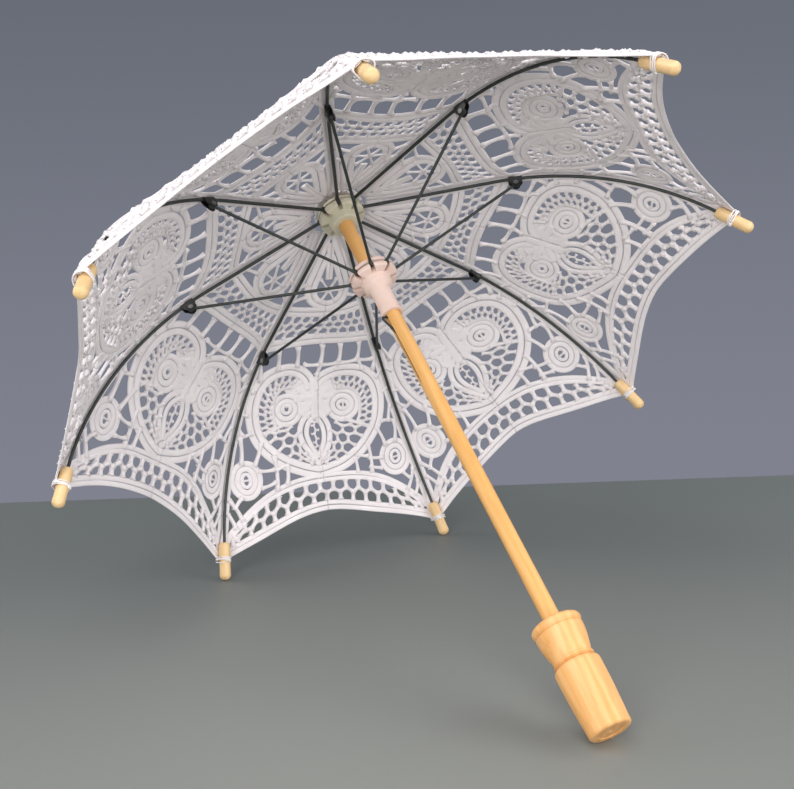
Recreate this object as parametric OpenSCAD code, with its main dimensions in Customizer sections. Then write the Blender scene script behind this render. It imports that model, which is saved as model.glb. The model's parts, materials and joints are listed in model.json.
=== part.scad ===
// Small folding parasol: eight wire ribs under a lace canopy, on a wooden shaft with a turned handle.
// It lies open on the floor, resting on two rib tips and on the handle's end.
// Everything is modelled round the shaft, with z = 0 in the crown's ring plane and the handle below it,
// and placed() leans the whole frame over onto the floor.

/* [Frame] */
// Length of a rib's straight stretch, from the crown ring
rib_straight = 78.5; // [77:0.5:80]
// Slope of the open rib below level at the crown
rib_slope = 13.4; // [13:0.1:14]
// Radius of the rib's bow
rib_bow_r = 155; // [150:1:160]
// Angle that the bow turns through
rib_bow_turn = 48.6; // [47:0.2:50]
// Diameter of the rib wire
rib_wire_d = 1.9; // [1.6:0.1:2.2]
// Diameter of the stretcher wire
stretcher_wire_d = 1.7; // [1.4:0.1:1.9]
// Radius of the crown's and the runner's wire rings
ring_r = 12; // [11.5:0.1:12.5]
// Distance along the rib's bow to the clip
clip_along_bow = 13; // [11:0.5:15]
// Drop from the rib wire to the stretcher's rivet
clip_drop = 4.3; // [4:0.1:5]

/* [Shaft and handle] */
// Diameter of the shaft
shaft_d = 8.5; // [8:0.1:9]
// Distance from the crown ring to the top of the handle
handle_top = 277.8; // [270:0.5:290]
// Length of the handle
handle_len = 55.7; // [50:0.5:60]
// Largest diameter of the handle
handle_d = 24.7; // [23:0.1:26]
// Height of the ferrule's tip above the crown ring
ferrule_top = 22; // [20:0.5:24]
// Diameter of the ferrule's straight end
ferrule_d = 7; // [6.5:0.1:7.5]

/* [Runner and catch] */
// Length of the runner's tube below its ring
runner_len = 29; // [27:0.5:31]
// Outer diameter of the runner's tube
runner_tube_d = 11.4; // [11:0.1:12]
// Diameter of the catch wire
catch_wire_d = 1.2; // [1:0.1:1.3]
// How far the catch reaches below the open runner
catch_len = 47; // [44:0.5:50]

/* [Tips and canopy] */
// Length of a rib tip bead
tip_len = 22.7; // [21:0.1:24]
// Diameter of a rib tip bead
tip_d = 6.9; // [6.5:0.1:7.3]
// Thickness of the lace
lace_t = 0.8; // [0.6:0.1:0.9]
// How far the hem rises up the bow halfway between two ribs
hem_rise = 7; // [5:0.5:10]
// How far the lace sinks inwards halfway between two ribs
lace_sag = 3; // [2:0.5:4]

/* [Hidden] */
$fn = 64;
rib_count = 8;
rib_step = 360 / rib_count;
down_rib = rib_step / 2;           // azimuth of rib 7 from straight down: ribs 6 and 7 stand on the floor
running = 0.3;                     // clearance between pieces that move past each other
pin_clear = 0.08;                  // radial clearance of a rivet in an eye
snug = 0.05;                       // glue gap between pieces that are fixed together
socket_depth = 22;                 // how far the shaft goes into the handle
shaft_end = 4;                     // where the shaft meets the ferrule

ring_wire_d = 1;
eye_hole_r = 0.75;
notch_w = rib_wire_d + 2 * running;
notch_r = ring_r - 3.2;            // how deep a notch reaches towards the shaft
flange_r = ring_r + 1.5;

rivet_d = 1.6;
clip_gap = 2.3;                    // between the clip's two cheeks
clip_wall = 0.5;
clip_len = 8;
eye_t = 1.5;                       // thickness of the stretcher's flat eye
eye_slim = 0.2;                    // a bent eye is a little thinner than its wire
bend_swell = 0.1;                  // a wire is a little thicker where it is bent
bow_lap = 0.15;                    // angle by which the rib's bow runs into its straight ends
bow_slim = 0.08;                   // the bow is drawn a little thinner than the straight wire

catch_side = 90;                   // azimuth of the catch from straight down
catch_slot_w = 1.8;
catch_slot_bottom = -1.8;          // the slot passes the shaft's axis by this much

lace_over_rib = 1.9;               // height of the lace's inner face above the rib's centre line
lace_over_ring = 2.2;              // further height over the crown
lace_over_bead = 2.3;              // further height over the rib tip's bead

tip_waist = 0.45;                  // where the thread hole is, along the bead
tip_hole_d = 1.2;
tip_bore = 8.4;                    // depth of the bead's bore, which the rib wire is glued into
tip_end_r = 3;                     // radius of the bead's rounded end

// The rib's centre line in its own plane, as [radius, height] at a length s from the crown ring.
bow_start = [ring_r + rib_straight * cos(rib_slope), -rib_straight * sin(rib_slope)];
bow_centre = bow_start - rib_bow_r * [sin(rib_slope), cos(rib_slope)];
bow_len = rib_bow_r * rib_bow_turn * PI / 180;
tip_slope = rib_slope + rib_bow_turn;
rib_len = rib_straight + bow_len;
function slope_at(s) =
    s < rib_straight ? rib_slope
    : s > rib_len ? tip_slope
    : rib_slope + (s - rib_straight) / rib_bow_r * 180 / PI;
function rib_at(s) =
    s < rib_straight ? [ring_r + s * cos(rib_slope), -s * sin(rib_slope)]
    : s > rib_len ? bow_at(tip_slope) + (s - rib_len) * [cos(tip_slope), -sin(tip_slope)]
    : bow_at(slope_at(s));
function bow_at(a) = bow_centre + rib_bow_r * [sin(a), cos(a)];
function outwards(s) = [sin(slope_at(s)), cos(slope_at(s))];

// The fold is two equal links: crown to rivet, and rivet to runner.
clip_s = rib_straight + clip_along_bow;
rivet_at = rib_at(clip_s) - clip_drop * outwards(clip_s);
runner_z = 2 * rivet_at[1];
runner_bottom = runner_z - runner_len;
stretcher_slope = atan2(rivet_at[1] - runner_z, rivet_at[0] - ring_r);

// Lean on the floor: the two low bead ends and the handle's rim touch one plane.
handle_bottom = handle_top + handle_len;
handle_rim_r = 1.5;
handle_end_d = handle_d * 0.83;
tip_end = rib_at(rib_len + tip_len - tip_end_r);
tip_u = tip_end[0] * cos(down_rib);
rim_u = handle_end_d / 2 - handle_rim_r;
reach = [tip_u - rim_u, tip_end[1] + handle_bottom - handle_rim_r];
lean = acos((handle_rim_r - tip_end_r) / norm(reach)) - atan2(reach[1], reach[0]);
floor_drop = cos(lean) * tip_u - sin(lean) * tip_end[1] + tip_end_r;
// Furthest points of the canopy's back and of the handle, along the floor from the crown.
back_dir = [sin(lean) * cos(down_rib), cos(lean)];
canopy_back = bow_centre * back_dir + rib_bow_r * norm(back_dir) + lace_t + lace_over_rib;
handle_front = cos(lean) * handle_bottom + sin(lean) * handle_end_d / 2;
floor_shift = (handle_front - canopy_back) / 2;

module placed() {
    translate([0, floor_shift, floor_drop])
        rotate([lean - 90, 0, 0])
            rotate([0, 0, 90])
                children();
}

module at_rib(i) { placed() rotate([0, 0, down_rib + (i - 7) * rib_step]) children(); }

// A ball at an end of a wire, or a straight wire between two points of the rib plane.
module wire(a, b, d) {
    run = b - a;
    translate([a[0], 0, a[1]])
        rotate([0, atan2(run[0], run[1]), 0])
            cylinder(h = norm(run), d = d);
}

module ball(p, d) { translate([p[0], 0, p[1]]) sphere(d = d); }

// A wire eye in the rib plane, round a hole of the given radius.
module eye(p, hole_r, d) {
    translate([p[0], 0, p[1]])
        rotate([90, 0, 0])
            rotate_extrude()
                translate([hole_r + d / 2, 0]) circle(d = d);
}

// A turned profile: points are [diameter, height], from the top down.
module turned(points) {
    first = points[0];
    last = points[len(points) - 1];
    rotate_extrude()
        polygon(concat(
            first[0] > 0 ? [[0, first[1]]] : [],
            [for (p = points) [p[0] / 2, p[1]]],
            last[0] > 0 ? [[0, last[1]]] : []
        ));
}

// Corner of a turned profile, rounded from angle a to angle b about [radius, height].
function round_corner(centre, r, a, b, steps = 6) =
    [for (k = [0:steps]) let (t = a + (b - a) * k / steps) [2 * (centre[0] + r * cos(t)), centre[1] + r * sin(t)]];

module ring_groove(z) {
    translate([0, 0, z])
        rotate_extrude()
            translate([ring_r - 0.8, -0.75]) square([3, 1.5]);
}

module notches(z, h, w) {
    for (i = [0:rib_count - 1])
        rotate([0, 0, down_rib + i * rib_step])
            translate([notch_r, -w / 2, z - h / 2]) cube([8, w, h]);
}

module ring_wire(z) {
    translate([0, 0, z])
        rotate_extrude() translate([ring_r, 0]) circle(d = ring_wire_d);
}

module shaft() {
    color("burlywood") placed() difference() {
        translate([0, 0, -handle_top - socket_depth]) cylinder(h = handle_top + socket_depth + shaft_end, d = shaft_d);
        rotate([0, 0, catch_side])
            translate([catch_slot_bottom, -catch_slot_w / 2, runner_bottom - catch_len - 2])
                cube([shaft_d, catch_slot_w, catch_len + 3]);
    }
}

module handle() {
    top = -handle_top;
    bottom = -handle_bottom;
    neck = top - 0.335 * handle_len;
    color("tan") placed() difference() {
        turned(concat(
            [[handle_d - 6, top]],
            round_corner([handle_d / 2 - 2, top - 2], 2, 80, -30),
            [[handle_d - 1.6, top - 4.3], [handle_d - 2.6, top - 4.6], [handle_d - 1.2, top - 5]],
            [for (k = [0:10]) let (t = k / 10)
                [handle_d - 1.1 - 4.8 * t * t * (1.6 - 0.6 * t), top - 5.2 + t * (neck - top + 5.2)]],
            [[handle_d - 5.3, neck - 0.4], [handle_d - 4.9, neck - 1], [handle_d - 5.3, neck - 1.6],
             [handle_d - 6.6, neck - 2.1], [handle_d - 5, neck - 2.5]],
            round_corner([handle_d / 2 - 3.6, neck - 5.2], 2.6, 80, 10),
            [[handle_end_d, bottom + 4]],
            round_corner([handle_end_d / 2 - handle_rim_r, bottom + handle_rim_r], handle_rim_r, 0, -90)
        ));
        translate([0, 0, top - socket_depth - running]) cylinder(h = handle_len, d = shaft_d + 2 * snug);
    }
}

module ferrule() {
    straight_top = ferrule_top - 5;
    color("burlywood") placed() turned(concat(
        [for (k = [0:8]) let (a = 90 - 90 * k / 8) [k == 0 ? 0 : ferrule_d * cos(a), straight_top + 5 * sin(a)]],
        [[ferrule_d, 7.6], [shaft_d, 6.4], [shaft_d, shaft_end]]
    ));
}

module rosette() {
    color("white") placed() rotate_extrude() {
        translate([5, 6.3]) square([6.5, 2.2]);
        translate([11.5, 7.4]) circle(d = 2.2);
    }
}

module crown() {
    color("ivory") placed() difference() {
        turned(concat(
            [[shaft_d + 4, 2.9]],
            round_corner([flange_r - 1.5, 1.4], 1.5, 80, 0),
            round_corner([flange_r - 1.5, -3], 1.5, 0, -80),
            [[17, -4.6], [16, -8.5], [15, -9]]
        ));
        translate([0, 0, -10]) cylinder(h = 20, d = shaft_d + 2 * snug);
        ring_groove(0);
        notches(0, 20, notch_w);
    }
}

module crown_wire() { color("dimgray") placed() ring_wire(0); }

module runner() {
    color("linen") placed() difference() {
        turned(concat(
            round_corner([flange_r - 1, runner_z + 2.4], 1, 80, 0),
            round_corner([flange_r - 1, runner_z - 2.4], 1, 0, -80),
            [[runner_tube_d + 6, runner_z - 4.2], [runner_tube_d + 4.4, runner_z - 8.6],
             [runner_tube_d, runner_z - 10], [runner_tube_d, runner_bottom + 2.4],
             [runner_tube_d + 1, runner_bottom + 2], [runner_tube_d + 1, runner_bottom]]
        ));
        translate([0, 0, runner_bottom - 1]) cylinder(h = runner_len + 20, d = shaft_d + 0.6);
        ring_groove(runner_z);
        notches(runner_z, 8.8, notch_w);
    }
}

module runner_wire() { color("dimgray") placed() ring_wire(runner_z); }

// The catch climbs in the shaft's slot, sticks out under the runner and turns back in.
module catch() {
    low = runner_bottom - catch_len;
    path = [[0.6, low], [3.2, low + 2.5], [3.2, low + 34], [7.1, runner_bottom - 2.4],
            [6.6, runner_bottom - 1.1], [3.1, runner_bottom - 1.3]];
    color("dimgray") placed() rotate([0, 0, catch_side]) union() {
        for (k = [0:len(path) - 2]) wire(path[k], path[k + 1], catch_wire_d);
        for (p = path) ball(p, catch_wire_d + bend_swell);
    }
}

module rib_wire(i) {
    color("dimgray") at_rib(i) union() {
        eye([ring_r, 0], eye_hole_r, rib_wire_d - eye_slim);
        wire(rib_at(eye_hole_r + rib_wire_d / 2), bow_start, rib_wire_d);
        translate([bow_centre[0], 0, bow_centre[1]])
            rotate([90, 0, 0])
                rotate([0, 0, 90 - tip_slope - bow_lap])
                    rotate_extrude(angle = rib_bow_turn + 2 * bow_lap)
                        translate([rib_bow_r, 0]) circle(d = rib_wire_d - bow_slim);
        wire(rib_at(rib_len), rib_at(rib_len + tip_bore - 0.4), rib_wire_d);
    }
}

module rib_tip(i) {
    waist = tip_waist * tip_len;
    color("wheat") at_rib(i)
        translate([rib_at(rib_len)[0], 0, rib_at(rib_len)[1]])
            rotate([0, 90 + tip_slope, 0]) difference() {
                turned(concat(
                    [for (p = round_corner([tip_end_r, tip_len - tip_end_r], tip_end_r, 90, 0))
                        [(p[0] - 2 * tip_end_r) * tip_d / (2 * tip_end_r), p[1]]],
                    [[tip_d, waist + 1.4], [tip_d - 0.9, waist + 0.7], [tip_d - 0.9, waist - 0.7],
                     [tip_d, waist - 1.4], [tip_d - 0.3, 3]],
                    [for (k = [0:4]) let (a = 90 * k / 4) [tip_d - 0.3 - 2.2 * (1 - cos(a)), 1.6 - 1.6 * sin(a)]]
                ));
                translate([0, 0, -1]) cylinder(h = tip_bore + 1, d = rib_wire_d + bend_swell + 2 * snug);
                translate([0, 5, waist]) rotate([90, 0, 0]) cylinder(h = 10, d = tip_hole_d);
            }
}

// The clip's frame: origin on the rib wire, x along the rib towards the tip, z outwards.
module at_clip(i) {
    at_rib(i)
        translate([rib_at(clip_s)[0], 0, rib_at(clip_s)[1]])
            rotate([0, slope_at(clip_s), 0]) children();
}

module clip(i) {
    width = clip_gap + 2 * clip_wall;
    crest = rib_wire_d / 2 + clip_wall;
    color([0.12, 0.12, 0.12]) at_clip(i) difference() {
        union() {
            intersection() {
                translate([-clip_len / 2, 0, crest - width / 2])
                    rotate([0, 90, 0]) cylinder(h = clip_len, d = width);
                translate([-clip_len, -clip_len, crest - width / 2]) cube(2 * clip_len);
            }
            translate([-clip_len / 2, -width / 2, -clip_drop])
                cube([clip_len, width, clip_drop + crest - width / 2]);
            translate([0, width / 2, -clip_drop]) rotate([90, 0, 0]) cylinder(h = width, d = 5);
        }
        translate([-clip_len, -clip_gap / 2, -clip_len - 2]) cube([2 * clip_len, clip_gap, clip_len + 2 - 0.4]);
        translate([-clip_len, 0, 0]) rotate([0, 90, 0]) cylinder(h = 2 * clip_len, d = rib_wire_d + 2 * snug);
        translate([0, 5, -clip_drop]) rotate([90, 0, 0]) cylinder(h = 10, d = rivet_d + 2 * snug);
        for (s = [-1, 1])
            translate([s * (clip_len / 2 + 1.2), 5, -clip_drop - 0.6]) rotate([90, 0, 0]) cylinder(h = 10, d = 4.6);
    }
}

module rivet(i) {
    width = clip_gap + 2 * clip_wall;
    color("silver") at_clip(i)
        translate([0, width / 2 + 0.6, -clip_drop]) rotate([90, 0, 0]) union() {
            cylinder(h = width + 1.2, d = rivet_d);
            cylinder(h = 0.55, d = 2.8);
            translate([0, 0, width + 0.65]) cylinder(h = 0.55, d = 2.8);
        }
}

module stretcher(i) {
    upper_eye = rivet_d / 2 + pin_clear;
    run = [cos(stretcher_slope), sin(stretcher_slope)];
    low = [ring_r, runner_z];
    color("gray") at_rib(i) difference() {
        union() {
            eye(low, eye_hole_r, stretcher_wire_d - eye_slim);
            wire(low + run * (eye_hole_r + stretcher_wire_d / 2), rivet_at - run * 1.8, stretcher_wire_d);
            translate([rivet_at[0], eye_t / 2, rivet_at[1]]) rotate([90, 0, 0]) cylinder(h = eye_t, d = 4);
        }
        translate([rivet_at[0], 5, rivet_at[1]]) rotate([90, 0, 0]) cylinder(h = 10, r = upper_eye);
    }
}

// The lace panel's surface: u runs along the rib from the centre to the hem, v across from -1 to 1,
// halfway to the next rib on either side. Between ribs the cloth is a chord that sinks a little.
lace_rows = 22;
lace_columns = 16;
lace_start = -6;
lace_seam = 0.25;
function smooth(t) = let (c = min(1, max(0, t))) c * c * (3 - 2 * c);
function lace_lift(s, v) =
    lace_over_rib + lace_over_ring * exp(-pow(s / 14, 2))
    + lace_over_bead * smooth((s - rib_len + 10) / 10) * pow(1 - abs(v), 3);
function hem_at(v) = rib_len - hem_rise + (hem_rise + tip_waist * tip_len) * pow(1 - abs(v), 1.7);
function lace_at(u, v, lift) =
    let (s = lace_start + u * (hem_at(v) - lace_start),
         base = rib_at(s),
         out = outwards(s),
         sag = lace_sag * (1 - pow(1 - abs(v), 2)) * sin(180 * min(1, max(0, s / rib_len))),
         rise = lace_lift(s, v) * (1 - 0.3 * abs(v) * smooth(s / 60)) - sag + lift,
         p = base + rise * out,
         half = sin(rib_step / 2) * cos(rib_step / 2))
    [p[0] * (1 - pow(sin(rib_step / 2), 2) * abs(v)),
     sign(v) * max(0, p[0] * half * abs(v) - lace_seam * abs(v)),
     p[1]];

module lace(i) {
    rows = lace_rows;
    cols = lace_columns;
    side = (rows + 1) * (cols + 1);
    points = [for (layer = [0, 1]) for (r = [0:rows]) for (c = [0:cols])
        lace_at(r / rows, 2 * c / cols - 1, layer * lace_t)];
    function at(layer, r, c) = layer * side + r * (cols + 1) + c;
    faces = concat(
        [for (r = [0:rows - 1]) for (c = [0:cols - 1])
            for (f = [[at(0, r, c), at(0, r, c + 1), at(0, r + 1, c + 1)], [at(0, r, c), at(0, r + 1, c + 1), at(0, r + 1, c)]]) f],
        [for (r = [0:rows - 1]) for (c = [0:cols - 1])
            for (f = [[at(1, r, c), at(1, r + 1, c + 1), at(1, r, c + 1)], [at(1, r, c), at(1, r + 1, c), at(1, r + 1, c + 1)]]) f],
        [for (r = [0:rows - 1])
            for (f = [[at(0, r, 0), at(0, r + 1, 0), at(1, r + 1, 0)], [at(0, r, 0), at(1, r + 1, 0), at(1, r, 0)],
                      [at(0, r, cols), at(1, r + 1, cols), at(0, r + 1, cols)], [at(0, r, cols), at(1, r, cols), at(1, r + 1, cols)]]) f],
        [for (c = [0:cols - 1])
            for (f = [[at(0, 0, c), at(1, 0, c + 1), at(0, 0, c + 1)], [at(0, 0, c), at(1, 0, c), at(1, 0, c + 1)],
                      [at(0, rows, c), at(0, rows, c + 1), at(1, rows, c + 1)], [at(0, rows, c), at(1, rows, c + 1), at(1, rows, c)]]) f]
    );
    color("white") at_rib(i) polyhedron(points, faces);
}

shaft();
handle();
ferrule();
rosette();
crown();
crown_wire();
runner();
runner_wire();
catch();
for (i = [1:rib_count]) rib_wire(i);
for (i = [1:rib_count]) rib_tip(i);
for (i = [1:rib_count]) clip(i);
for (i = [1:rib_count]) rivet(i);
for (i = [1:rib_count]) stretcher(i);
for (i = [1:rib_count]) lace(i);
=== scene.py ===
import json
import math

import bmesh
import bpy
import numpy as np
from mathutils import Matrix, Vector


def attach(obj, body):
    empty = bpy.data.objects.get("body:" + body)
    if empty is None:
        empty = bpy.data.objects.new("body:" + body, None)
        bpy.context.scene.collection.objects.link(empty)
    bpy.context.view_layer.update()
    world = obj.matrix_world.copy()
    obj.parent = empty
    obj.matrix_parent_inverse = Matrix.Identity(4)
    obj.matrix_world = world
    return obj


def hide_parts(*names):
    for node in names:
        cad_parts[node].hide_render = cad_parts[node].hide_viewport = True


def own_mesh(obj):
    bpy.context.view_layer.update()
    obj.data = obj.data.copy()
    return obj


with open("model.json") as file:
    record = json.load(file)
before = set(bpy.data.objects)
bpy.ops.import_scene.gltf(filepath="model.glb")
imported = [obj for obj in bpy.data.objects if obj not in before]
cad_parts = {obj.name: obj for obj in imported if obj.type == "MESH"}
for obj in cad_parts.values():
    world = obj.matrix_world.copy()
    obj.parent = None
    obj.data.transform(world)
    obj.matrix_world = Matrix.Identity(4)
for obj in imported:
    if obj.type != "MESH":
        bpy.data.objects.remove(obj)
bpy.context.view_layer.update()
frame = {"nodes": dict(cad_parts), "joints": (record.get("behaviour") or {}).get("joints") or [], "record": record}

mm = 0.001
weldGap = 2e-6           # metres: points closer than this are one

# ---- where things are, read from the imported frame

mounts = {mount["name"]: mount for mount in frame["record"]["mounts"]}
joints = {joint["name"]: joint for joint in frame["joints"]}
ribCount = 8
ribHinges = [joints["fold" if i == 1 else f"rib_{i}_hinge"] for i in range(1, ribCount + 1)]
hingePlaces = np.array([hinge["pos_m"] for hinge in ribHinges])
shaftUp = np.array(mounts["ferrule_pin"]["axis"], float)     # from the handle towards the ferrule
crownCentre = hingePlaces.mean(axis=0)
ringRadius = np.linalg.norm(hingePlaces[0] - crownCentre)
ribOut = (hingePlaces - crownCentre) / ringRadius            # away from the shaft, one row a rib
ribSide = np.array([hinge["axis"] for hinge in ribHinges], float)
down = ribOut[5] + ribOut[6]
down = down / np.linalg.norm(down)                           # from the shaft, straight down the slope
aside = np.cross(shaftUp, down)
handleEnd = float((np.array(mounts["handle_end"]["pos_m"]) - crownCentre) @ shaftUp)     # along the shaft


def placed(local):
    # shaft coordinates to the frame: x straight down the slope, y aside, z along the shaft
    return crownCentre + local[..., 0:1] * down + local[..., 1:2] * aside + local[..., 2:3] * shaftUp


def ribPlane(i, flat):
    # points of rib i's own plane, as [distance from the shaft, height], put into the frame
    return crownCentre + flat[..., 0:1] * ribOut[i - 1] + flat[..., 1:2] * shaftUp


# ---- mesh making

def unit(v):
    return v / np.maximum(np.linalg.norm(v, axis=-1, keepdims=True), 1e-12)


def smoothStep(t):
    t = np.clip(t, 0, 1)
    return t * t * (3 - 2 * t)


def gridQuads(rows, columns, aroundRows=False):
    # quads of a rows x columns grid of points: each row is a ring, and the rows can close on themselves too
    r = np.arange(rows if aroundRows else rows - 1)[:, None]
    c = np.arange(columns)[None, :]
    r2, c2 = (r + 1) % rows, (c + 1) % columns
    corners = [r * columns + c, r * columns + c2, r2 * columns + c2, r2 * columns + c]
    return np.stack([np.broadcast_to(k, (r.size, c.size)) for k in corners], -1).reshape(-1, 4)


def newObject(name, mesh):
    made = bpy.data.objects.new(name, mesh)
    bpy.context.scene.collection.objects.link(made)
    return made


def solidFrom(name, grids, body, material):
    # grids are (points, quads) pairs that make up one piece
    mesh = bpy.data.meshes.new(name)
    points = np.concatenate([g[0].reshape(-1, 3) for g in grids])
    starts = np.cumsum([0] + [g[0].reshape(-1, 3).shape[0] for g in grids[:-1]])
    quads = np.concatenate([g[1] + s for g, s in zip(grids, starts)])
    mesh.from_pydata(points, [], quads)
    shape = bmesh.new()
    shape.from_mesh(mesh)
    bmesh.ops.remove_doubles(shape, verts=shape.verts, dist=weldGap)
    bmesh.ops.dissolve_degenerate(shape, edges=shape.edges, dist=weldGap)
    bmesh.ops.recalc_face_normals(shape, faces=shape.faces)
    for face in shape.faces:
        face.smooth = True
    shape.to_mesh(mesh)
    shape.free()
    mesh.set_sharp_from_angle(angle=math.radians(40))
    made = newObject(name, mesh)
    mesh.materials.append(material)
    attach(made, body)
    return made


def lathe(profile, turns):
    # a profile of [radius, height] turned round its own z axis: (r cos a, r sin a, z)
    angle = np.arange(turns) / turns * math.tau
    radius, height = profile[:, 0:1], profile[:, 1:2]
    points = np.stack([radius * np.cos(angle), radius * np.sin(angle), height + 0 * angle], -1)
    return points, gridQuads(len(profile), turns)


def loopOfThread(path, side, radius, sides=8):
    # a circle carried round a closed path: p + r (a cos t + b sin t), with a and b square to the path
    along = unit(np.roll(path, -1, 0) - np.roll(path, 1, 0))
    a = unit(np.cross(along, side))
    b = np.cross(along, a)
    turn = (np.arange(sides) / sides * math.tau)[:, None]
    points = path[:, None] + radius * (a[:, None] * np.cos(turn) + b[:, None] * np.sin(turn))
    return points, gridQuads(len(points), sides, aroundRows=True)


def curveThrough(points, step, closed=False):
    # a Catmull-Rom curve through given points, then points at an even step along it
    p = np.asarray(points, float)
    ring = np.concatenate([p[-1:], p, p[:2]]) if closed else \
        np.concatenate([2 * p[:1] - p[1:2], p, 2 * p[-1:] - p[-2:-1]])
    t = np.linspace(0, 1, 24, endpoint=False)[:, None]
    p0, p1, p2, p3 = (ring[k:len(ring) - 3 + k][:, None] for k in range(4))
    fine = 0.5 * (2 * p1 + (p2 - p0) * t + (2 * p0 - 5 * p1 + 4 * p2 - p3) * t ** 2
                  + (3 * p1 - p0 - 3 * p2 + p3) * t ** 3)
    fine = np.concatenate([fine.reshape(-1, p.shape[1]), p[:1] if closed else p[-1:]])
    return evenly(fine, step, closed)


def evenly(line, step, closed=False):
    # points about a step apart along a line
    length = np.concatenate([[0], np.cumsum(np.linalg.norm(np.diff(line, axis=0), axis=1))])
    count = max(3, int(round(length[-1] / step)) + 1)
    at = np.linspace(0, length[-1], count)
    even = np.stack([np.interp(at, length, line[:, k]) for k in range(line.shape[1])], -1)
    return even[:-1] if closed else even


def alongLine(line, share):
    # points at the given shares of a line's length
    line = np.asarray(line, float)
    length = np.concatenate([[0], np.cumsum(np.linalg.norm(np.diff(line, axis=0), axis=1))])
    return np.stack([np.interp(share * length[-1], length, line[:, k]) for k in range(line.shape[1])], -1)


# ---- shader maths

class Thread:
    def __init__(self, tree, socket=None):
        self.tree, self.socket = tree, socket

    def node(self, kind, settings, values, out=0):
        made = self.tree.nodes.new("ShaderNode" + kind)
        for key, value in settings.items():
            if key == "stops":
                ramp = made.color_ramp.elements
                while len(ramp) < len(value):
                    ramp.new(0.5)
                for element, (place, colour) in zip(ramp, value):
                    element.position, element.color = place, colour
            else:
                setattr(made, key, value)
        for key, value in values.items():
            if isinstance(value, Thread):
                self.tree.links.new(value.socket, made.inputs[key])
            else:
                made.inputs[key].default_value = value
        return Thread(self.tree, made.outputs[out])

    def maths(self, operation, a, b=0.0):
        return self.node("Math", {"operation": operation}, {0: a, 1: b})

    def __add__(self, other):
        return self.maths("ADD", self, other)

    def __sub__(self, other):
        return self.maths("SUBTRACT", self, other)

    def __rsub__(self, other):
        return self.maths("SUBTRACT", other, self)

    def __mul__(self, other):
        return self.maths("MULTIPLY", self, other)

    __radd__, __rmul__ = __add__, __mul__

    def clamp(self):
        return self.node("Clamp", {}, {0: self})

    def between(self, low, high):
        # 0 below low, 1 above high
        return self.node("MapRange", {"interpolation_type": "SMOOTHSTEP"}, {0: self, 1: low, 2: high})

    def mix(self, first, second):
        # this value as the factor between two colours
        return self.node("Mix", {"data_type": "RGBA"}, {0: self, 6: first, 7: second}, out=2)

    def noise(self, place, scale, detail=3.0, rough=0.55):
        return self.node("TexNoise", {}, {"Vector": place, "Scale": scale, "Detail": detail,
                                          "Roughness": rough})

    def bump(self, strength, distance):
        return self.node("Bump", {}, {"Strength": strength, "Distance": distance, "Height": self})


def newMaterial(name, **fixed):
    # a Principled material with its constants set on its own sockets
    material = bpy.data.materials.new(name)
    material.use_nodes = True
    tree = material.node_tree
    shader = tree.nodes["Principled BSDF"]
    for key, value in fixed.items():
        shader.inputs[key.replace("_", " ")].default_value = value
    return material, Thread(tree), shader


def feed(thread, shader, name):
    thread.tree.links.new(thread.socket, shader.inputs[name])


def shaftSpace(start):
    # object coordinates turned so that x and y cross the shaft and z runs along it, in metres
    place = start.node("TexCoord", {}, {}, out=3)
    moved = start.node("VectorMath", {"operation": "SUBTRACT"}, {0: place, 1: tuple(crownCentre)})
    return [start.node("VectorMath", {"operation": "DOT_PRODUCT"}, {0: moved, 1: tuple(axis)}, out=1)
            for axis in (down, aside, shaftUp)]


def joined(start, x, y, z):
    return start.node("CombineXYZ", {}, {0: x, 1: y, 2: z})


# ---- the open canopy's surface

# lengths in millimetres; the cloth rises over the ribs, the crown's ring and the beads
ribShape = {"straight": 78.5, "slopeDegrees": 13.4, "bowRadius": 155.0, "turnDegrees": 48.6}
clothShape = {"overRib": 1.9, "overRing": 2.2, "overBead": 2.3, "sag": 3.0}
ringMm = ringRadius / mm
slopeStart = math.radians(ribShape["slopeDegrees"])
slopeEnd = slopeStart + math.radians(ribShape["turnDegrees"])
ribLength = ribShape["straight"] + ribShape["bowRadius"] * (slopeEnd - slopeStart)
gapSine = math.sin(math.pi / ribCount)


def ribSlope(s):
    return np.clip(slopeStart + (s - ribShape["straight"]) / ribShape["bowRadius"], slopeStart, slopeEnd)


def ribLine(s):
    # straight, then an arc, then straight again: [distance from the shaft, height] at a length s
    first, bow = ribShape["straight"], ribShape["bowRadius"]
    angle, past = ribSlope(s), np.maximum(s - ribLength, 0)
    early = np.minimum(s, first)
    across = ringMm + early * math.cos(slopeStart) + bow * (np.sin(angle) - math.sin(slopeStart)) \
        + past * math.cos(slopeEnd)
    height = -early * math.sin(slopeStart) + bow * (np.cos(angle) - math.cos(slopeStart)) \
        - past * math.sin(slopeEnd)
    return across, height


def halfGore(s):
    # half the chord between two ribs, at a length s down them
    return np.maximum(ribLine(s)[0] * gapSine, 0.5)


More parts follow.
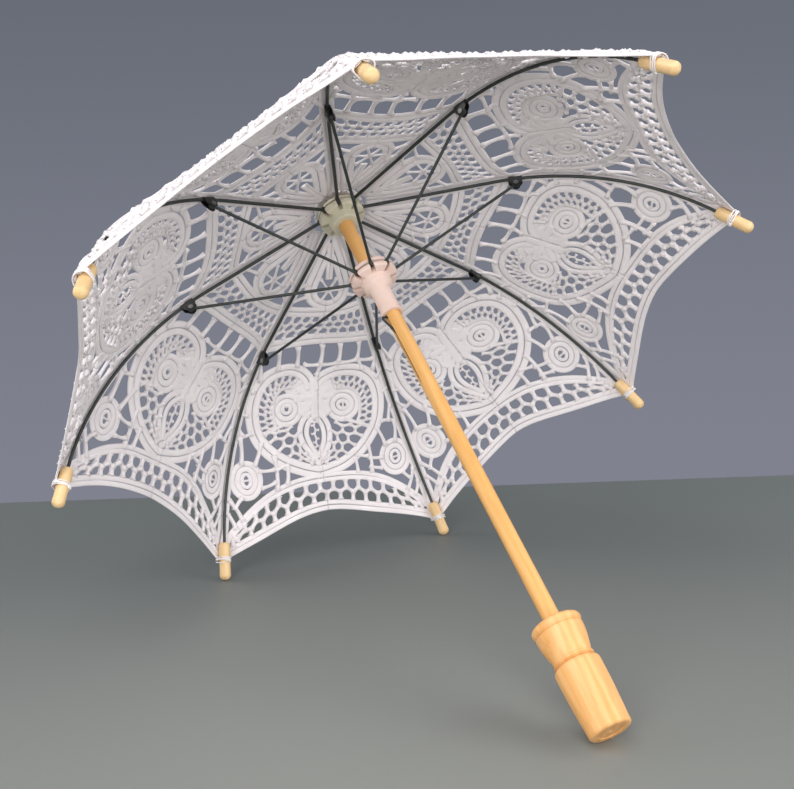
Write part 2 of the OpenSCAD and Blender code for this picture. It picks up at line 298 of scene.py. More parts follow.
def goreToFrame(i, x, s, h):
    # gore i spans rib i to rib i + 1: a chord between the two ribs that sags inwards in the middle,
    # (1 - t) rib(s) + t nextRib(s), lifted off the ribs by the cloth's height h
    v = np.clip(x / halfGore(s), -1.2, 1.2)
    fromRib = 1 - np.abs(v)
    sag = clothShape["sag"] * (1 - (1 - fromRib) ** 2) * np.sin(math.pi * np.clip(s / ribLength, 0, 1))
    rise = clothShape["overRib"] + clothShape["overRing"] * np.exp(-(s / 14) ** 2) \
        + clothShape["overBead"] * smoothStep((s - ribLength + 10) / 10) * np.clip(1 - fromRib, 0, 1) ** 3
    angle = ribSlope(s)
    across, height = ribLine(s)
    lift = rise - sag + h
    across, height = across + lift * np.sin(angle), height + lift * np.cos(angle)
    plane = np.stack([across, height], -1) * mm
    t = ((v + 1) / 2)[..., None]
    return (1 - t) * ribPlane(i, plane) + t * ribPlane(i % ribCount + 1, plane)


# ---- lace: tapes and threads laid out flat, x across the gore and s down from the crown

laceWork = {                     # in millimetres
    "tapeThickness": 1.25,
    "tapeCrown": 0.35,           # how much thinner a tape's edges are than its middle
    "tapeStep": 1.15,
    "tapeSides": 12,
    "endShare": 0.02,            # a strip's width at its very ends, as a share of its own
    "threadSides": 6,
    "threadSteps": 7,
    "threadHeight": 0.85,        # as a share of its width
    "knot": 0.75,                # how much thicker a thread is where it joins
    "warp": 0.9,                 # how far the hand-sewn pattern wanders
    "joinGap": 0.3,              # between two tapes sewn edge to edge
    "halfGap": 0.12,             # from the gore's middle to where each half is cut
    "netSwing": 0.19,            # how far a net's lines zigzag, as a share of a row
    "unsteady": 0.22,            # how far a net's knots are off their places
    "seed": 5,
}
tapeWidths = {
    "seam": 4.4, "hem": 3.5, "innerHem": 3.3, "lobe": 4.7, "petal": 4.1, "petalEye": 3.0, "body": 6.2,
    "leaf": 4.2, "leafLining": 3.7, "corner": 3.9, "cornerEye": 2.7, "band": 4.3, "arch": 3.9,
    "bud": 4.2, "budLining": 3.9, "budStem": 5.0, "starHub": 1.9,
}
nets = {
    "hem": {"cells": 15, "rows": 2, "thread": 2.6, "lift": 0.45},
    "lobe": {"cells": 11, "rows": 2, "thread": 1.8, "lift": 0.42},
    "leafSide": {"cells": 5, "rows": 3, "thread": 2.0, "lift": 0.44},
    "leaf": {"cells": 3, "rows": 2, "thread": 1.3, "lift": 0.45},
    "crown": {"cells": 9, "rows": 3, "thread": 1.7, "lift": 0.45},
}
# lines across the gore: how far down in the middle, how much lower at the ribs, and the curve's power
goreLines = {"hem": (203, 19, 1.7), "innerHem": (181, 33, 3), "band": (82.3, 4, 2), "arch": (62.5, -3.5, 2)}


def acrossGore(name, shift, reach=0.97):
    # middle + fall |v|^power + shift, as flat points, with v from -1 at one rib to 1 at the next
    middle, fall, power = goreLines[name]
    v = np.linspace(-reach, reach, 60)
    s = middle + fall * np.abs(v) ** power + shift
    return np.stack([v * halfGore(s), s], -1)


def strip(path, width, lift, thickness=None, sides=None, closed=False, knot=0.0):
    # a section carried along flat paths: path + n (w/2) sgn(cos a)|cos a|^0.75 across and, in height,
    # (t/2) sin a times (1 - crown u^2), so that a tape is fullest along its middle; u is -1 to 1 across
    path = np.asarray(path, float)
    path = path[None] if path.ndim == 2 else path
    sides = sides or laceWork["tapeSides"]
    thickness = thickness or laceWork["tapeThickness"]
    along = unit(np.roll(path, -1, 1) - np.roll(path, 1, 1) if closed else np.gradient(path, axis=1))
    normal = np.stack([-along[..., 1], along[..., 0]], -1)
    rows = path.shape[1]
    share = np.linspace(0, 1, rows)
    swell = 1 + knot * np.abs(2 * share - 1) ** 3
    taper = np.ones(rows)
    order = np.arange(rows)
    if not closed:       # an extra ring at each end draws the strip in to a pinhole
        order = np.concatenate([[0], order, [rows - 1]])
        taper = np.concatenate([[laceWork["endShare"]], taper, [laceWork["endShare"]]])
    angle = (np.arange(sides) + 0.5) / sides * math.tau
    u = np.sign(np.cos(angle)) * np.abs(np.cos(angle)) ** 0.75
    crown = laceWork["tapeCrown"] if knot == 0 else 0
    h = np.sin(angle) * (1 - crown * u ** 2)
    size = (swell[order] * taper)[:, None]
    flat = path[:, order, None, :] + normal[:, order, None, :] * (u * width / 2 * size)[None, ..., None]
    height = np.broadcast_to((lift + h * thickness / 2 * size)[None], flat.shape[:3])
    points = np.concatenate([flat, height[..., None]], -1)
    travel = np.concatenate([np.zeros((len(path), 1)),
                             np.cumsum(np.linalg.norm(np.diff(path, axis=1), axis=-1), axis=1)], 1)[:, order]
    side = np.broadcast_to((2 * u)[None, None], flat.shape[:3])
    marks = np.stack([side, np.broadcast_to(travel[..., None], side.shape)], -1)
    one = gridQuads(len(order), sides, aroundRows=closed)
    each = len(order) * sides
    quads = (one[None] + (np.arange(len(path)) * each)[:, None, None]).reshape(-1, 4)
    kind = np.full(len(path) * each, 0.0 if knot == 0 else 1.0)
    return points.reshape(-1, 3), quads, marks.reshape(-1, 2), kind


def tape(kind, path, lift, closed=False):
    # narrower than its place by the gap to the tape sewn beside it
    return strip(path, tapeWidths[kind] - laceWork["joinGap"], lift, closed=closed)


def offsetPath(path, away):
    along = unit(np.gradient(path, axis=0))
    return path + away * np.stack([-along[:, 1], along[:, 0]], -1)


def threads(starts, ends, diameter, lift, bend=0.0):
    # straight or slightly bowed threads between pairs of points
    starts, ends = np.asarray(starts, float), np.asarray(ends, float)
    t = np.linspace(0, 1, laceWork["threadSteps"])[None, :, None]
    run = ends - starts
    side = np.stack([-run[:, 1], run[:, 0]], -1)
    path = starts[:, None] * (1 - t) + ends[:, None] * t + bend * side[:, None] * 4 * t * (1 - t)
    return strip(path, diameter, lift, thickness=diameter * laceWork["threadHeight"],
                 sides=laceWork["threadSides"], knot=laceWork["knot"])


def bars(name, diameter, lift, bend=0.0):
    # the motif's own threads, each given by its two ends
    ends = np.array(motif[name], float)
    return threads(ends[:, :2], ends[:, 2:], diameter, lift, bend)


def openNet(name, lower, upper, hand):
    # a honeycomb between two lines: line k of the net zigzags about k / rows of the way by swing / rows,
    # and a bar joins each of its peaks to a valley of the next line, as at both ends of the net;
    # hand is the maker's unsteady hand
    rows, diameter, lift = nets[name]["rows"], nets[name]["thread"], nets[name]["lift"]
    place = np.arange(2 * nets[name]["cells"] + 1)
    a, b = alongLine(lower, place / place[-1]), alongLine(upper, place / place[-1])
    turned = np.where(place % 2 == 1, 1.0, -1.0)
    swing = laceWork["netSwing"] * turned
    level = [0 * turned] + [(k + swing * (-1) ** (k + 1)) / rows for k in range(1, rows)] + [0 * turned + 1]
    lines = [a + (b - a) * share[:, None] + hand.normal(0, laceWork["unsteady"], a.shape) for share in level]
    made = [threads(line[:-1], line[1:], diameter, lift) for line in lines[1:-1]]
    for k in range(rows):
        joins = np.unique(np.concatenate([place[turned * (-1) ** k < 0], place[[0, -1]]]))
        made.append(threads(lines[k][joins], lines[k + 1][joins], diameter * 1.05, lift + 0.05))
    return made


# the motif of one gore, as listed: a point is (across, down from the crown) in millimetres, a ring is
# (across, down, half width, half length, turn in degrees), and a bar runs from one point to another
motif = {
    "ringsEach": 3,              # rings in each petal and corner, the last one its eye
    "seam": (5, 221),
    "leftLobe": [(2, 120), (-3, 113), (-11, 109), (-20, 108.5), (-30.5, 111.5), (-38.5, 118.5), (-42.5, 128),
                 (-43, 138), (-41, 148), (-35.5, 157), (-27, 165.5), (-15, 172.5), (-3, 176), (3, 177)],
    "rightLobe": [(3.5, 120), (6, 112), (12, 106), (20.5, 103.5), (31, 106), (38.5, 114), (42.3, 125),
                  (43, 136), (41, 147.5), (35, 158), (26, 166.5), (14.5, 173), (7, 176), (3, 177)],
    "leaf": [(2, 136), (-4.5, 141), (-7.5, 149), (-6, 158), (-0.5, 167), (3, 171),
             (6.5, 166), (12, 157), (13.5, 149), (10, 141)],
    "leafLining": (0.58, 0.74),
    "leafSide": [(22, 143), (13, 145), (10, 151), (8, 160), (3, 168)],       # out from heartMiddle
    "heartMiddle": 3,
    "leafNet": ([(0.5, 143), (0.2, 151), (1.5, 160)], [(5.5, 143), (5.8, 151), (4.5, 160)]),
    "petals": [(-18, 133, 10.4, 9.8, -15), (-18, 133, 6.6, 6.0, -15), (-18.5, 133.2, 3.5, 2.7, -15),
               (21, 132.5, 9.4, 10.2, 10), (21, 132.5, 5.7, 6.3, 10), (21, 132, 2.6, 3.0, 10)],
    "body": [(2, 114, 2, 141), (-13, 125.5, 16, 125.5), (-8, 119, 12, 138), (13, 118, -9, 138),
             (-2, 115, -4, 141), (6, 115, 8, 141), (-9, 131, 12, 131), (-3, 117, -15, 124.5),
             (7, 116, 18, 123), (-6, 115, -17, 121.5), (10, 113, 21, 120)],
    "corners": [(-52, 175, 9.8, 10.8, 0), (-52, 175, 6.2, 7.2, 0), (-52, 175, 3.0, 3.9, 0),
                (51, 174, 9, 11, 0), (51, 174, 5.5, 7.5, 0), (51, 174, 2.7, 4.2, 0)],
    "brides": [(-44, 149, -55, 151), (-50, 150.5, -52, 139), (-54, 151, -53, 165), (44, 144, 54, 146),
               (50, 145, 53, 136), (52, 146, 53, 164), (-46, 129, -50, 127), (46, 132, 51, 130),
               (-33, 161, -34, 183), (-43, 174, -33, 172), (-42, 181, -33, 178), (-33, 171, -24, 168),
               (32, 161, 32, 184), (32, 170, 43, 169), (32, 178, 42, 180), (32, 171, 23, 169),
               (-40, 152, -46, 167), (39, 151, 45, 166), (24, 169, 25, 181), (-23, 170, -24, 181),
               (-64, 184, -57, 199), (-61, 191, -56, 186), (-66, 193, -62, 203),
               (64, 184, 57, 199), (61, 191, 55, 184), (66, 193, 62, 203),
               (-27, 88.5, -27, 102), (-13.5, 87.5, -14, 102), (-1.5, 87, -2, 102), (-27, 102, -14, 102),
               (-14, 102, -2, 102), (-2, 102, 9, 101), (-27, 102, -31, 110), (-14, 102, -13, 107),
               (14.5, 87.5, 14, 102), (27, 88.5, 27, 103), (-39, 93, -39, 112), (-39, 104, -27, 102),
               (39, 92, 38, 110), (-2, 102, 0, 110), (-46, 112, -41, 118), (47, 112, 42, 117)],
    "slits": [(-18.5, 130, -18.5, 137), (20.5, 130, 21.5, 130.5), (-54, 175, -50, 175.5), (49, 174, 53, 174)],
    "bud": [(0, 6), (-4.6, 17), (-9, 30), (-12.6, 43), (-10.5, 54), (0, 60),
            (10.5, 54), (12.6, 43), (9, 30), (4.6, 17)],
    "budLining": [(0, 19), (-3.8, 27), (-6.6, 36), (-9, 45), (-6.8, 52.6), (0, 56),
                  (6.8, 52.6), (9, 45), (6.6, 36), (3.8, 27)],
    "budStem": (12, 38),
    "star": {"centre": (0, 46.5), "spokes": 6, "length": 10.5, "hub": 1.3},
    "budBars": [(-12, 40, -19, 43), (12, 40, 19, 43), (-13, 50, -22, 53), (13, 50, 22, 53)],
}


def ellipse(x, s, a, b, turn, step):
    # (a cos t, b sin t) turned about its centre
    t = np.linspace(0, math.tau, 120)
    c, d = math.cos(math.radians(turn)), math.sin(math.radians(turn))
    ring = [x + a * np.cos(t) * c - b * np.sin(t) * d, s + a * np.cos(t) * d + b * np.sin(t) * c]
    return evenly(np.stack(ring, -1), step, closed=True)


def goreEdges(hand):
    # seams along both ribs, two tapes of hem and two of inner hem, and the net between them
    step = laceWork["tapeStep"]
    top, foot = motif["seam"]
    s = np.linspace(top, foot, int((foot - top) / step))
    parts = [tape("seam", np.stack([side * (halfGore(s) - tapeWidths["seam"] / 2), s], -1), 0.5)
             for side in (-1, 1)]
    for k, (name, shift) in enumerate([("hem", -1.6), ("hem", -5.0), ("innerHem", -1.6), ("innerHem", 1.6)]):
        parts.append(tape(name, evenly(acrossGore(name, shift, 0.985), step), 0.58 - 0.03 * k))
    return parts + openNet("hem", acrossGore("innerHem", 2.9, 0.88), acrossGore("hem", -6.4, 0.9), hand)


heartShape = {
    "tapesApart": 2.3,           # each tape's middle from the lobe's line
    "netFrom": 4.3,
    "netTo": 12.2,
    "netPart": (0.12, 0.64),     # the stretch of the lobe that has a net, as shares of its length
    "leafPart": (0.62, 0.95),    # and the stretch that a net joins to the leaf
    "cord": {"at": 12.9, "width": 2.4, "thickness": 1.2, "lift": 0.42},
}


def partOf(line, shares):
    return slice(int(len(line) * shares[0]), int(len(line) * shares[1]))


def goreHeart(hand):
    # two lobes of double tape, each with a net that a cord edges, and a net from its foot to the leaf
    step, cord = laceWork["tapeStep"], heartShape["cord"]
    parts = []
    for k, (name, side) in enumerate([("leftLobe", -1), ("rightLobe", 1)]):
        lobe = curveThrough(motif[name], step)
        for j, shift in enumerate((-heartShape["tapesApart"], heartShape["tapesApart"])):
            parts.append(tape("lobe", offsetPath(lobe, shift), 0.62 + 0.04 * j + 0.02 * k))
        inner, deep, rim = [offsetPath(lobe, side * away)
                            for away in (heartShape["netFrom"], heartShape["netTo"], cord["at"])]
        lined = partOf(lobe, heartShape["netPart"])
        parts.extend(openNet("lobe", inner[lined], deep[lined], hand))
        parts.append(strip(evenly(rim[lined], step), cord["width"], cord["lift"], thickness=cord["thickness"],
                           sides=laceWork["threadSides"], knot=0.01))
        leafSide = curveThrough([(motif["heartMiddle"] + side * x, s) for x, s in motif["leafSide"]], step)
        parts.extend(openNet("leafSide", leafSide, inner[partOf(lobe, heartShape["leafPart"])], hand))
    return parts


def ringed(name, lift):
    # rings inside one another, each a little higher than the last, and the innermost of narrower tape
    for k, ring in enumerate(motif[name + "s"]):
        innermost = k % motif["ringsEach"] == motif["ringsEach"] - 1
        yield tape(name + "Eye" if innermost else name, ellipse(*ring, laceWork["tapeStep"]), lift + 0.03 * k,
                   closed=True)


def goreFlowers(hand):
    # the petals in the lobes, the body of crossed tapes, the leaf with its lining and net, and the corners
    step = laceWork["tapeStep"]
    parts = list(ringed("petal", 0.66))
    for k, (x, s, toX, toS) in enumerate(motif["body"]):
        parts.append(tape("body", evenly(np.array([(x, s), (toX, toS)], float), step), 0.5 + 0.05 * k))
    leaf = curveThrough(motif["leaf"], step, closed=True)
    middle = leaf.mean(axis=0)
    parts.append(tape("leaf", leaf, 0.68, closed=True))
    parts.append(tape("leafLining", middle + (leaf - middle) * motif["leafLining"], 0.64, closed=True))
    parts.extend(openNet("leaf", *motif["leafNet"], hand))
    return parts + list(ringed("corner", 0.6))


def goreCrown(hand):
    # ring band, net, arch, and the bud at the crown with a star in its wide end
    step = laceWork["tapeStep"]
    parts = []
    for k, shift in enumerate((-2.1, 2.1)):
        parts.append(tape("band", evenly(acrossGore("band", shift), step), 0.6 + 0.04 * k))
        parts.append(tape("arch", evenly(acrossGore("arch", 0.9 * shift), step), 0.6 + 0.04 * k))
    parts.extend(openNet("crown", acrossGore("arch", 3.6, 0.9), acrossGore("band", -4.0, 0.9), hand))
    parts.append(tape("bud", curveThrough(motif["bud"], step, closed=True), 0.66, closed=True))
    parts.append(tape("budLining", curveThrough(motif["budLining"], step, closed=True), 0.7, closed=True))
    parts.append(tape("budStem", np.stack([np.zeros(30), np.linspace(*motif["budStem"], 30)], -1), 0.55))
    star = motif["star"]
    turn = (np.arange(star["spokes"]) + 0.5) / star["spokes"] * math.tau
    ray = np.stack([np.sin(turn), np.cos(turn)], -1)
    parts.append(threads(star["centre"] + ray * 0.4, star["centre"] + ray * star["length"], 1.5, 0.5))
    hub = ellipse(*star["centre"], star["hub"], star["hub"], 0, 0.7)
    parts.append(tape("starHub", hub, 0.55, closed=True))
    return parts + [bars("budBars", 2.0, 0.45)]


def goreMotif():
    hand = np.random.default_rng(laceWork["seed"])
    sewn = goreEdges(hand) + goreHeart(hand) + goreFlowers(hand)
    sewn += [bars("brides", 2.3, 0.46, bend=0.05), bars("slits", 1.3, 0.46)]
    return sewn + goreCrown(hand)


def joinParts(parts):
    points = np.concatenate([p[0] for p in parts])
    starts = np.cumsum([0] + [len(p[0]) for p in parts[:-1]])
    quads = np.concatenate([p[1] + s for p, s in zip(parts, starts)])
    return points, quads, np.concatenate([p[2] for p in parts]), np.concatenate([p[3] for p in parts])


def flatMesh(points, quads, marks, kind):
    mesh = bpy.data.meshes.new("flatGore")
    mesh.from_pydata(points, [], quads)
    layer = mesh.uv_layers.new(name="alongTape")
    layer.data.foreach_set("uv", marks[quads.ravel()].astype(np.float32).ravel())
    isThread = mesh.attributes.new("isThread", "FLOAT", "POINT")
    isThread.data.foreach_set("value", kind.astype(np.float32))
    return mesh


def halfOfGore(mesh, i, side):
    # keeps one side of the flat gore, fills the cut and bends the half into place
    shape = bmesh.new()
    shape.from_mesh(mesh)
    whole = shape.verts[:] + shape.edges[:] + shape.faces[:]
    cut = bmesh.ops.bisect_plane(shape, geom=whole, dist=1e-4, plane_co=(side * laceWork["halfGap"], 0, 0),
                                 plane_no=(-side, 0, 0), clear_outer=True)
    rim = [e for e in cut["geom_cut"] if isinstance(e, bmesh.types.BMEdge)]
    bmesh.ops.holes_fill(shape, edges=rim, sides=0)
    half = bpy.data.meshes.new("halfGore")
    shape.to_mesh(half)
    shape.free()
    flat = np.empty(len(half.vertices) * 3, np.float32)
    half.vertices.foreach_get("co", flat)
    x, s, h = flat.reshape(-1, 3).astype(float).T
    half.vertices.foreach_set("co", goreToFrame(i, x, s, h).astype(np.float32).ravel())
    return half


def wander(points, i):
    # a slow drift of the pattern that fades out at the seams: two sines along each way of the cloth, and
    # in height the product of two
    phase = np.random.default_rng(laceWork["seed"] + i).uniform(0, math.tau, 6)
    x, s = points[:, 0], points[:, 1]
    fade = laceWork["warp"] * np.clip(1 - (x / halfGore(s)) ** 2, 0, 1)
    moved = points.copy()
    moved[:, 0] += fade * (np.sin(s / 17 + phase[0]) + 0.6 * np.sin(x / 11 + s / 23 + phase[1]))
    moved[:, 1] += fade * (np.sin(x / 13 + phase[2]) + 0.6 * np.sin(s / 12 - x / 19 + phase[3]))
    moved[:, 2] += 0.25 * fade * np.sin(x / 9 + phase[4]) * np.sin(s / 11 + phase[5])
    return moved


def makeLace(material):
    # a panel is the right half of the gore before its rib and the left half of the gore after it
    points, quads, marks, kind = joinParts(goreMotif())
    right, left = {}, {}
    for i in range(1, ribCount + 1):
        flat = flatMesh(wander(points, i), quads, marks, kind)
        left[i] = halfOfGore(flat, i, -1)
        right[i] = halfOfGore(flat, i, 1)
        bpy.data.meshes.remove(flat)
    panels = []
    for i in range(1, ribCount + 1):
        before = (i - 2) % ribCount + 1
        shape = bmesh.new()
        shape.from_mesh(right[before])
        shape.from_mesh(left[i])
        bmesh.ops.recalc_face_normals(shape, faces=shape.faces)
        for face in shape.faces:
            face.smooth = len(face.verts) < 6
        mesh = bpy.data.meshes.new(f"lace_panel_{i}")
        shape.to_mesh(mesh)
        shape.free()
        mesh.materials.append(material)
        panels.append(newObject(f"lace_panel_{i}", mesh))
    for half in list(right.values()) + list(left.values()):
        bpy.data.meshes.remove(half)
    return panels


# ---- turned wood

grainShift = 37.0                        # millimetres, so that no two pieces share a grain
sawnAcross = [0.31, 0.94, 0.11]          # no piece points this way


def turnedPiece(name, profile, origin, axis, body, material, turns=64):
    # a lathe profile in millimetres stood on origin along axis, keeping its own coordinates as the grain
    local, quads = lathe(np.asarray(profile, float), turns)
    local = local.reshape(-1, 3)
    axis = unit(np.asarray(axis, float))
    side = unit(np.cross(axis, sawnAcross))
    other = np.cross(axis, side)
    stood = origin + mm * (local[:, 0:1] * side + local[:, 1:2] * other + local[:, 2:3] * axis)
    piece = solidFrom(name, [(stood, quads)], body, material)
    mesh = piece.data
    co = np.empty(len(mesh.vertices) * 3, np.float32)
    mesh.vertices.foreach_get("co", co)
    away = (co.reshape(-1, 3) - origin) / mm
    grain = np.stack([away @ side, away @ other, away @ axis], -1) + grainShift * (len(name) + ord(name[-1]))
    layer = mesh.attributes.new("grain", "FLOAT_VECTOR", "POINT")
    layer.data.foreach_set("vector", grain.astype(np.float32).ravel())
    return piece


def arc(centre, radius, first, last, count):
    # points of a profile's rounded corner, as [radius, height]
    angle = np.radians(np.linspace(first, last, count))
    return np.stack([centre[0] + radius * np.cos(angle), centre[1] + radius * np.sin(angle)], -1)


handleShape = {"topRadius": 12.35, "neckRadius": 9.5, "endRadius": 10.25, "length": 55.7, "neckAt": 18.7,
               "rim": 1.5, "neckBead": 9.95}


def handleProfile():
    # heights run from 0 at the top rim down to minus the length
    g = handleShape
    top, neck, end = g["topRadius"], -g["neckAt"], -g["length"]
    t = np.linspace(0, 1, 16)
    flare = np.stack([top - 0.55 - 2.4 * t ** 2 * (1.6 - 0.6 * t), -5.4 + t * (neck + 5.4)], -1)
    grip = np.stack([np.linspace(top - 1.05, g["endRadius"] + 0.05, 14),
                     np.linspace(neck - 5.4, end + 4.0, 14)], -1)
    grip[:, 0] += 0.22 * np.sin(np.linspace(0, math.pi, 14))
    return np.concatenate([
        [[0, -0.3], [4.4, -0.3], [top - 3.4, -0.15]],
        arc((top - 2, -2), 2, 84, -28, 12),
        [[top - 0.75, -4.25], [top - 1.3, -4.65], [top - 0.6, -5.05]],
        flare,
        [[g["neckRadius"] + 0.2, neck - 0.35]],
        arc((g["neckBead"] - 0.5, neck - 1.0), 0.55, 70, -70, 7),
        [[g["neckRadius"] - 0.55, neck - 2.1], [g["neckRadius"] + 0.2, neck - 2.5]],
        arc((top - 3.65, neck - 5.2), 2.6, 78, 6, 9),
        grip,
        arc((g["endRadius"] - g["rim"], end + g["rim"]), g["rim"], 0, -90, 9),
        [[6.2, end + 0.02], [5.9, end + 0.35], [5.5, end + 0.4], [0.9, end + 0.4], [0.7, end + 0.9],
         [0, end + 1.2]],
    ])


ferruleShape = {"radius": 3.5, "foot": 4.25, "footAt": 4.0, "top": 22.0}


def ferruleProfile():
    # a foot, a straight pin and a nose that is a quarter of an ellipse
    g = ferruleShape
    angle = np.linspace(0.05, 1.55, 12)
    return np.concatenate([
        [[0, g["footAt"]], [g["foot"], g["footAt"] + 0.05], [g["foot"], 6.3], [g["radius"] + 0.1, 7.4]],
        np.stack([np.full(6, g["radius"]), np.linspace(7.7, g["top"] - 5.1, 6)], -1),
        np.stack([g["radius"] * np.cos(angle), g["top"] - 5 + 5 * np.sin(angle)], -1),
        [[0, g["top"]]],
    ])


beadShape = {"length": 22.7, "radius": 3.45, "waistAt": 10.2, "waistDepth": 0.42, "endRadius": 3.0}


def beadProfile():
    g = beadShape
    angle = np.linspace(0, math.pi / 2, 10)
    foot = np.stack([g["radius"] - 1.15 + 0.95 * np.sin(angle), 1.5 - 1.5 * np.cos(angle)], -1)
    along = np.linspace(3, g["length"] - g["endRadius"], 34)
    body = g["radius"] - 0.12 * np.clip((6 - along) / 3, 0, 1) - g["waistDepth"] \
        * np.exp(-((along - g["waistAt"]) / 0.9) ** 2) + 0.1 * np.sin(along / 3.1)
    body = np.minimum(body, g["radius"])
    nose = np.stack([g["radius"] * np.cos(angle),
                     g["length"] - g["endRadius"] + g["endRadius"] * np.sin(angle)], -1)
    return np.concatenate([[[0, 0.0]], foot, np.stack([body, along], -1), nose[1:-1], [[0, g["length"]]]])


def beadFrame(i):
    # where bead i starts on its rib, and the way it points
    across, height = ribLine(np.array([ribLength, ribLength + 1.0]))
    two = ribPlane(i, np.stack([across, height], -1) * mm)
    return two[0], unit(two[1] - two[0])


def makeBeads(wood, cotton):
    for i in range(1, ribCount + 1):
        start, axis = beadFrame(i)
        bead = turnedPiece(f"rib_bead_{i}", beadProfile(), start, axis, f"rib_{i}", wood,
                           turns=40)
        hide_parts(f"rib_tip_{i}")
        makeStitches(i, start, axis, cotton)


stitchLook = {"threadRadius": 0.3, "knotRadius": 0.4, "turns": 5, "spread": 0.85, "pitch": 0.7, "seed": 11}


def makeStitches(i, start, axis, cotton):
    # sewing thread wound round the bead at its waist, and over the hem's corner that lies on it
    look = stitchLook
    side = ribSide[i - 1]
    out = np.cross(side, axis)
    if out @ shaftUp < 0:
        out = -out
    drift = np.random.default_rng(look["seed"] + i).uniform(-1, 1, look["turns"] * 2)
    grids = []
    for k in range(look["turns"]):
        t = np.arange(44) / 44 * math.tau
        along = beadShape["waistAt"] + look["spread"] * (k - (look["turns"] - 1) / 2) * look["pitch"] \
            + 0.8 * drift[k] * np.cos(t) + 0.4 * drift[k + look["turns"]] * np.sin(2 * t)
        over = smoothStep((np.sin(t) + 0.25) / 0.8)          # the outer half passes over the cloth
        radius = beadShape["radius"] + 0.15 + 1.75 * over
        loop = start + mm * (along[:, None] * axis + (radius * np.cos(t))[:, None] * side
                             + (radius * np.sin(t))[:, None] * out)
        grids.append(loopOfThread(loop, axis, look["threadRadius"] * mm))
    knotAt = start + mm * ((beadShape["waistAt"] + 0.6) * axis - (beadShape["radius"] + 0.45) * out)
    turn = (np.arange(40) / 40 * math.tau)[:, None]      # the knot is a figure of eight
    knot = knotAt + mm * (0.8 * np.cos(turn) * side + 0.7 * np.sin(2 * turn) * axis
                          + 0.35 * np.sin(turn) * out)
    grids.append(loopOfThread(knot, out, look["knotRadius"] * mm))
    solidFrom(f"hem_stitches_{i}", grids, f"rib_{i}", cotton)


rosetteShape = {"inner": 4.6, "outer": 15.0, "pleats": 17, "depth": 1.15, "height": 7.2, "thickness": 0.5}
rosetteWrap = {"radius": 4.75, "height": 7.6, "turns": 3, "thread": 0.4}


def makeRosette(cotton):
    # a gathered frill: from the inner edge, at r = 0, to an uneven outer one, at r = 1, the height is a low
    # crown less 2.6 r^1.5, plus pleat(r, a) sin(n a); the same surface lifted by the thickness closes it
    g = rosetteShape
    a = np.arange(g["pleats"] * 18) / (g["pleats"] * 18) * math.tau
    r = np.linspace(0, 1, 22)[:, None]
    edge = g["outer"] + 0.7 * np.sin(3 * a + 1) + 0.5 * np.sin(g["pleats"] * a * 0.5)
    radius = g["inner"] + (edge - g["inner"]) * r
    pleat = g["depth"] * smoothStep(r * 1.6) * (0.75 + 0.25 * np.sin(2 * a + 0.6))
    height = g["height"] + 1.3 * np.sin(math.pi * np.clip(r * 1.3, 0, 1)) - 2.6 * r ** 1.5 \
        + pleat * np.sin(g["pleats"] * a + 1.2 * np.sin(2 * a) + 0.5 * r)
    angle = a + 0.05 * r * np.sin(5 * a) + 0.6 * pleat * np.cos(g["pleats"] * a) / np.maximum(radius, 6) * 0.5
    lower = np.stack([radius * np.cos(angle), radius * np.sin(angle), height], -1)
    upper = lower + [0, 0, g["thickness"]]
    both = np.concatenate([lower, upper[::-1]])
    piece = solidFrom("rosette_frill", [(placed(both * mm), gridQuads(len(both), len(a), aroundRows=True))],
                      "root", cotton)
    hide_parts("rosette")
    w = rosetteWrap
    turn = np.arange(200) / 200 * math.tau * w["turns"]
    wrap = np.stack([w["radius"] * np.cos(turn), w["radius"] * np.sin(turn),
                     w["height"] + 0.5 * np.sin(turn / w["turns"])], -1)
    thread = loopOfThread(placed(wrap[:-1] * mm), shaftUp, w["thread"] * mm)
    solidFrom("rosette_thread", [thread], "root", cotton)


# ---- materials

def cottonMaterial(name, light, shade, useMarks):
    # fine fuzz over soft patches; with marks, also the weave along a tape, the ply along a thread, and
    # painted shade that darkens each tape towards its edges, where it meets the next
    material, start, shader = newMaterial(name, Sheen_Weight=0.15, Sheen_Roughness=0.5,
                                          Specular_IOR_Level=0.2)
    place = start.node("TexCoord", {}, {}, out=3)
    cloudy = start.noise(place, 55.0, 2.0)
    fuzz = start.noise(place, 2600.0, 2.0, 0.7)
    if useMarks:
        marks = start.node("UVMap", {"uv_map": "alongTape"}, {})
        across, along = [start.node("SeparateXYZ", {}, {0: marks}, out=k) for k in (0, 1)]
        kept = {"attribute_type": "GEOMETRY", "attribute_name": "isThread"}
        thread = start.node("Attribute", kept, {}, out=2)
        rows = start.maths("SINE", along * 8.4 + start.maths("ABSOLUTE", across) * 3.0)
        lines = start.maths("SINE", across * 9.5)
        tapeWeave = rows * 0.55 + lines * 0.45
        plied = start.maths("SINE", along * 6.0 + across * 5.0)
        weave = (1 - thread) * tapeWeave + thread * plied
        # painted shade: edge rises towards a tape's edges and darkens its tone there, standing in for the shade in
        # the groove between two tapes sewn side by side
        edge = start.maths("ABSOLUTE", across).between(1.25, 2.0)
        height = weave * 0.5 + fuzz * 0.9
        tone = (weave * 0.1 + cloudy * 0.6 + fuzz * 0.35 + 0.1 - edge * 0.55).clamp()
        strength, distance = 0.55, 0.00018
    else:
        height = fuzz
        tone = (cloudy * 0.8 + fuzz * 0.4 - 0.1).clamp()
        strength, distance = 0.5, 0.0002
    feed(tone.mix(shade, light), shader, "Base Color")
    feed(0.78 + cloudy * 0.2, shader, "Roughness")
    feed(height.bump(strength, distance), shader, "Normal")
    return material


